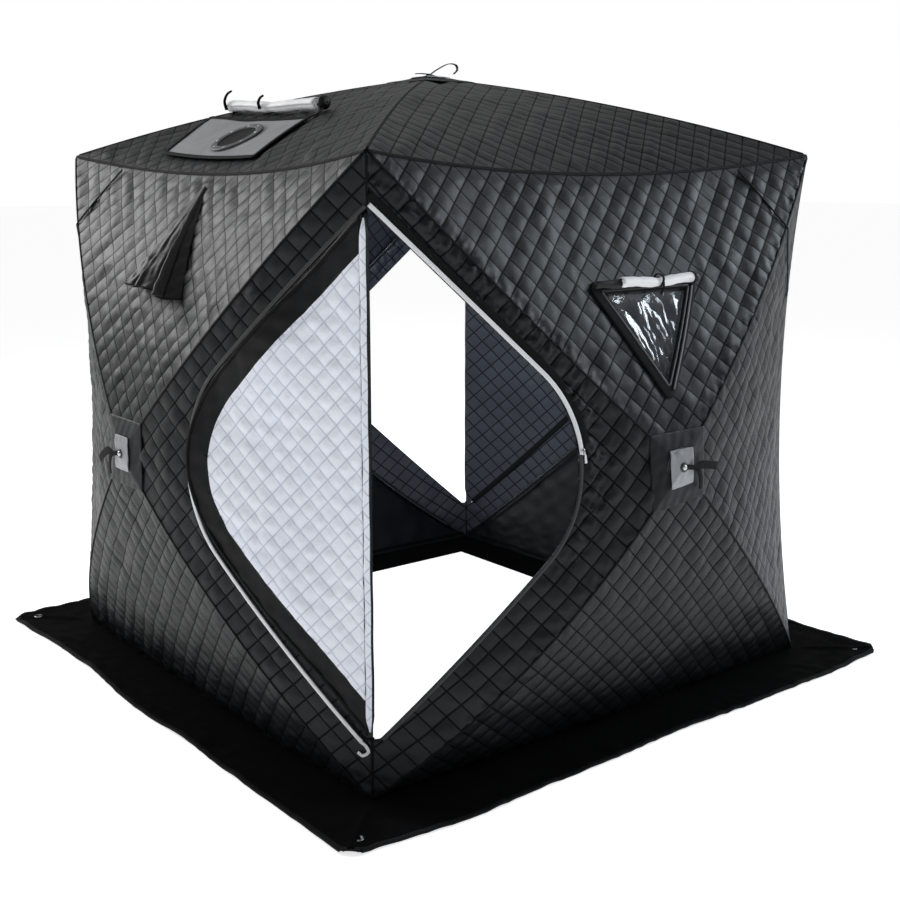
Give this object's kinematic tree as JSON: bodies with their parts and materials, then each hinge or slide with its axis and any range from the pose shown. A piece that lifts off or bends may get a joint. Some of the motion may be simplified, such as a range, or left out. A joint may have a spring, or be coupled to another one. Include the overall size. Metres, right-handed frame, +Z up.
{
  "type": "ice fishing shelter",
  "caption": "Pop-up hub ice fishing shelter: quilted walls and roof pushed out by hubs with rods, corner doors with zips, windows, vents, stove jack and snow skirt.",
  "frame": {"origin": "on the ice at the centre of the shelter, which is the bottom centre of its box", "axes": "+Z up; the front wall faces -Y and the left wall faces -X; the near door is at the -X -Y corner"},
  "size_m": [2.4164, 2.4164, 2.0302],
  "materials": {
    "quilt": "matte",
    "skirt": "matte",
    "lining": "matte",
    "clear": "gloss",
    "silver": "satin",
    "rod": "satin",
    "plastic": "satin",
    "webbing": "matte",
    "steel": "satin"
  },
  "bodies": {
    "shell": {"anchor_eyelet_far": "steel", "anchor_eyelet_left": "steel", "anchor_eyelet_near": "steel", "anchor_eyelet_right": "steel", "corner_boot_far": "plastic", "corner_boot_left": "plastic", "corner_boot_near": "plastic", "corner_boot_right": "plastic", "door_far_fixed_half": "quilt", "door_near_fixed_half": "quilt", "roof_panel": "clear", "snow_skirt": "skirt", "stove_jack_cover_roll": "lining", "stove_jack_panel": "silver", "stove_pipe_ring": "plastic", "vent_hood_left": "quilt", "vent_hood_right": "quilt", "wall_back": "quilt", "wall_front": "quilt", "wall_left": "quilt", "wall_right": "quilt", "window_back_cover_roll": "lining", "window_back_pane": "clear", "window_front_cover_roll": "lining", "window_front_pane": "clear"},
    "hub_roof": {"hub_roof": "plastic"},
    "rod_roof_1": {"rod_roof_1": "rod"},
    "rod_roof_2": {"rod_roof_2": "rod"},
    "rod_roof_3": {"rod_roof_3": "rod"},
    "rod_roof_4": {"rod_roof_4": "rod"},
    "pull_strap_roof": {"pull_strap_roof": "webbing"},
    "hub_front": {"hub_front": "plastic"},
    "rod_front_1": {"rod_front_1": "rod"},
    "rod_front_2": {"rod_front_2": "rod"},
    "rod_front_3": {"rod_front_3": "rod"},
    "rod_front_4": {"rod_front_4": "rod"},
    "pull_strap_front": {"pull_strap_front": "webbing"},
    "hub_left": {"hub_left": "plastic"},
    "rod_left_1": {"rod_left_1": "rod"},
    "rod_left_2": {"rod_left_2": "rod"},
    "rod_left_3": {"rod_left_3": "rod"},
    "rod_left_4": {"rod_left_4": "rod"},
    "pull_strap_left": {"pull_strap_left": "webbing"},
    "hub_back": {"hub_back": "plastic"},
    "rod_back_1": {"rod_back_1": "rod"},
    "rod_back_2": {"rod_back_2": "rod"},
    "rod_back_3": {"rod_back_3": "rod"},
    "rod_back_4": {"rod_back_4": "rod"},
    "pull_strap_back": {"pull_strap_back": "webbing"},
    "hub_right": {"hub_right": "plastic"},
    "rod_right_1": {"rod_right_1": "rod"},
    "rod_right_2": {"rod_right_2": "rod"},
    "rod_right_3": {"rod_right_3": "rod"},
    "rod_right_4": {"rod_right_4": "rod"},
    "pull_strap_right": {"pull_strap_right": "webbing"},
    "door_near_leaf": {"door_near_leaf": "lining"},
    "door_far_leaf": {"door_far_leaf": "lining"},
    "zip_slider_near": {"zip_slider_near": "steel"},
    "zip_slider_far": {"zip_slider_far": "steel"}
  },
  "joints": [
    {"name": "pop_roof", "type": "slide", "parent": "shell", "child": "hub_roof", "axis": [0, 0, -1], "range_m": [0, 0.44]},
    {"name": "swing_roof_1", "type": "hinge", "parent": "hub_roof", "child": "rod_roof_1", "pos_m": [-0.02404, -0.02404, 1.989], "axis": [-0.7071, 0.7071, 0], "range_deg": [0, 22.22]},
    {"name": "swing_roof_2", "type": "hinge", "parent": "hub_roof", "child": "rod_roof_2", "pos_m": [0.02404, -0.02404, 1.989], "axis": [-0.7071, -0.7071, 0], "range_deg": [0, 22.22]},
    {"name": "swing_roof_3", "type": "hinge", "parent": "hub_roof", "child": "rod_roof_3", "pos_m": [0.02404, 0.02404, 1.989], "axis": [0.7071, -0.7071, 0], "range_deg": [0, 22.22]},
    {"name": "swing_roof_4", "type": "hinge", "parent": "hub_roof", "child": "rod_roof_4", "pos_m": [-0.02404, 0.02404, 1.989], "axis": [0.7071, 0.7071, 0], "range_deg": [0, 22.22]},
    {"name": "strap_roof", "type": "hinge", "parent": "hub_roof", "child": "pull_strap_roof", "pos_m": [0, 0, 2.0205], "axis": [1, 0, 0], "range_deg": [-95, 0]},
    {"name": "pop_front", "type": "slide", "parent": "shell", "child": "hub_front", "axis": [0, 1, 0], "range_m": [0, 0.47]},
    {"name": "swing_front_1", "type": "hinge", "parent": "hub_front", "child": "rod_front_1", "pos_m": [-0.02418, -1.167, 0.88391], "axis": [0.7031, 0, 0.711], "range_deg": [0, 23.8]},
    {"name": "swing_front_2", "type": "hinge", "parent": "hub_front", "child": "rod_front_2", "pos_m": [0.02418, -1.167, 0.88391], "axis": [0.7031, 0, -0.711], "range_deg": [0, 23.79]},
    {"name": "swing_front_3", "type": "hinge", "parent": "hub_front", "child": "rod_front_3", "pos_m": [0.02504, -1.167, 0.837], "axis": [-0.6764, 0, -0.7366], "range_deg": [0, 24]},
    {"name": "swing_front_4", "type": "hinge", "parent": "hub_front", "child": "rod_front_4", "pos_m": [-0.02504, -1.167, 0.837], "axis": [-0.6764, 0, 0.7366], "range_deg": [0, 23.74]},
    {"name": "strap_front", "type": "hinge", "parent": "hub_front", "child": "pull_strap_front", "pos_m": [0, -1.1985, 0.86], "axis": [1, 0, 0], "range_deg": [-95, 0]},
    {"name": "pop_left", "type": "slide", "parent": "shell", "child": "hub_left", "axis": [1, 0, 0], "range_m": [0, 0.47]},
    {"name": "swing_left_1", "type": "hinge", "parent": "hub_left", "child": "rod_left_1", "pos_m": [-1.167, 0.02418, 0.88391], "axis": [0, -0.7031, 0.711], "range_deg": [0, 23.79]},
    {"name": "swing_left_2", "type": "hinge", "parent": "hub_left", "child": "rod_left_2", "pos_m": [-1.167, -0.02418, 0.88391], "axis": [0, -0.7031, -0.711], "range_deg": [0, 23.79]},
    {"name": "swing_left_3", "type": "hinge", "parent": "hub_left", "child": "rod_left_3", "pos_m": [-1.167, -0.02504, 0.837], "axis": [0, 0.6764, -0.7366], "range_deg": [0, 24]},
    {"name": "swing_left_4", "type": "hinge", "parent": "hub_left", "child": "rod_left_4", "pos_m": [-1.167, 0.02504, 0.837], "axis": [0, 0.6764, 0.7366], "range_deg": [0, 24]},
    {"name": "strap_left", "type": "hinge", "parent": "hub_left", "child": "pull_strap_left", "pos_m": [-1.1985, 0, 0.86], "axis": [0, -1, 0], "range_deg": [-95, 0]},
    {"name": "pop_back", "type": "slide", "parent": "shell", "child": "hub_back", "axis": [0, -1, 0], "range_m": [0, 0.47]},
    {"name": "swing_back_1", "type": "hinge", "parent": "hub_back", "child": "rod_back_1", "pos_m": [0.02418, 1.167, 0.88391], "axis": [-0.7031, 0, 0.711], "range_deg": [0, 23.8]},
    {"name": "swing_back_2", "type": "hinge", "parent": "hub_back", "child": "rod_back_2", "pos_m": [-0.02418, 1.167, 0.88391], "axis": [-0.7031, 0, -0.711], "range_deg": [0, 23.79]},
    {"name": "swing_back_3", "type": "hinge", "parent": "hub_back", "child": "rod_back_3", "pos_m": [-0.02504, 1.167, 0.837], "axis": [0.6764, 0, -0.7366], "range_deg": [0, 24]},
    {"name": "swing_back_4", "type": "hinge", "parent": "hub_back", "child": "rod_back_4", "pos_m": [0.02504, 1.167, 0.837], "axis": [0.6764, 0, 0.7366], "range_deg": [0, 23.74]},
    {"name": "strap_back", "type": "hinge", "parent": "hub_back", "child": "pull_strap_back", "pos_m": [0, 1.1985, 0.86], "axis": [-1, 0, 0], "range_deg": [-95, 0]},
    {"name": "pop_right", "type": "slide", "parent": "shell", "child": "hub_right", "axis": [-1, 0, 0], "range_m": [0, 0.47]},
    {"name": "swing_right_1", "type": "hinge", "parent": "hub_right", "child": "rod_right_1", "pos_m": [1.167, -0.02418, 0.88391], "axis": [0, 0.7031, 0.711], "range_deg": [0, 23.79]},
    {"name": "swing_right_2", "type": "hinge", "parent": "hub_right", "child": "rod_right_2", "pos_m": [1.167, 0.02418, 0.88391], "axis": [0, 0.7031, -0.711], "range_deg": [0, 23.79]},
    {"name": "swing_right_3", "type": "hinge", "parent": "hub_right", "child": "rod_right_3", "pos_m": [1.167, 0.02504, 0.837], "axis": [0, -0.6764, -0.7366], "range_deg": [0, 24]},
    {"name": "swing_right_4", "type": "hinge", "parent": "hub_right", "child": "rod_right_4", "pos_m": [1.167, -0.02504, 0.837], "axis": [0, -0.6764, 0.7366], "range_deg": [0, 24]},
    {"name": "strap_right", "type": "hinge", "parent": "hub_right", "child": "pull_strap_right", "pos_m": [1.1985, 0, 0.86], "axis": [0, 1, 0], "range_deg": [-95, 0]},
    {"name": "leaf_near_fold", "type": "hinge", "parent": "shell", "child": "door_near_leaf", "pos_m": [-0.93, -0.93, 0.895], "axis": [0, 0, 1], "range_deg": [0, 229]},
    {"name": "leaf_far_fold", "type": "hinge", "parent": "shell", "child": "door_far_leaf", "pos_m": [0.93, 0.93, 0.895], "axis": [0, 0, 1], "range_deg": [0, 229]},
    {"name": "zip_near_run", "type": "hinge", "parent": "shell", "child": "zip_slider_near", "pos_m": [-0.69999, -1.02146, 0.88543], "axis": [-0.2373, -0.9679, 0.0832], "range_deg": [0, 39.13]},
    {"name": "zip_far_run", "type": "hinge", "parent": "shell", "child": "zip_slider_far", "pos_m": [0.69999, 1.02146, 0.88543], "axis": [0.2373, 0.9679, 0.0832], "range_deg": [0, 39.13]}
  ],
  "couplings": [
    {"joint": "swing_roof_1", "follows": "pop_roof", "rad_per_m": 0.87936},
    {"joint": "swing_roof_2", "follows": "pop_roof", "rad_per_m": 0.87936},
    {"joint": "swing_roof_3", "follows": "pop_roof", "rad_per_m": 0.87936},
    {"joint": "swing_roof_4", "follows": "pop_roof", "rad_per_m": 0.87936},
    {"joint": "swing_front_1", "follows": "pop_front", "rad_per_m": 0.8821},
    {"joint": "swing_front_2", "follows": "pop_front", "rad_per_m": 0.88156},
    {"joint": "swing_front_3", "follows": "pop_front", "rad_per_m": 0.88943},
    {"joint": "swing_front_4", "follows": "pop_front", "rad_per_m": 0.87965},
    {"joint": "swing_left_1", "follows": "pop_left", "rad_per_m": 0.88156},
    {"joint": "swing_left_2", "follows": "pop_left", "rad_per_m": 0.88156},
    {"joint": "swing_left_3", "follows": "pop_left", "rad_per_m": 0.88943},
    {"joint": "swing_left_4", "follows": "pop_left", "rad_per_m": 0.88943},
    {"joint": "swing_back_1", "follows": "pop_back", "rad_per_m": 0.8821},
    {"joint": "swing_back_2", "follows": "pop_back", "rad_per_m": 0.88156},
    {"joint": "swing_back_3", "follows": "pop_back", "rad_per_m": 0.88943},
    {"joint": "swing_back_4", "follows": "pop_back", "rad_per_m": 0.87965},
    {"joint": "swing_right_1", "follows": "pop_right", "rad_per_m": 0.88156},
    {"joint": "swing_right_2", "follows": "pop_right", "rad_per_m": 0.88156},
    {"joint": "swing_right_3", "follows": "pop_right", "rad_per_m": 0.88943},
    {"joint": "swing_right_4", "follows": "pop_right", "rad_per_m": 0.88943}
  ]
}
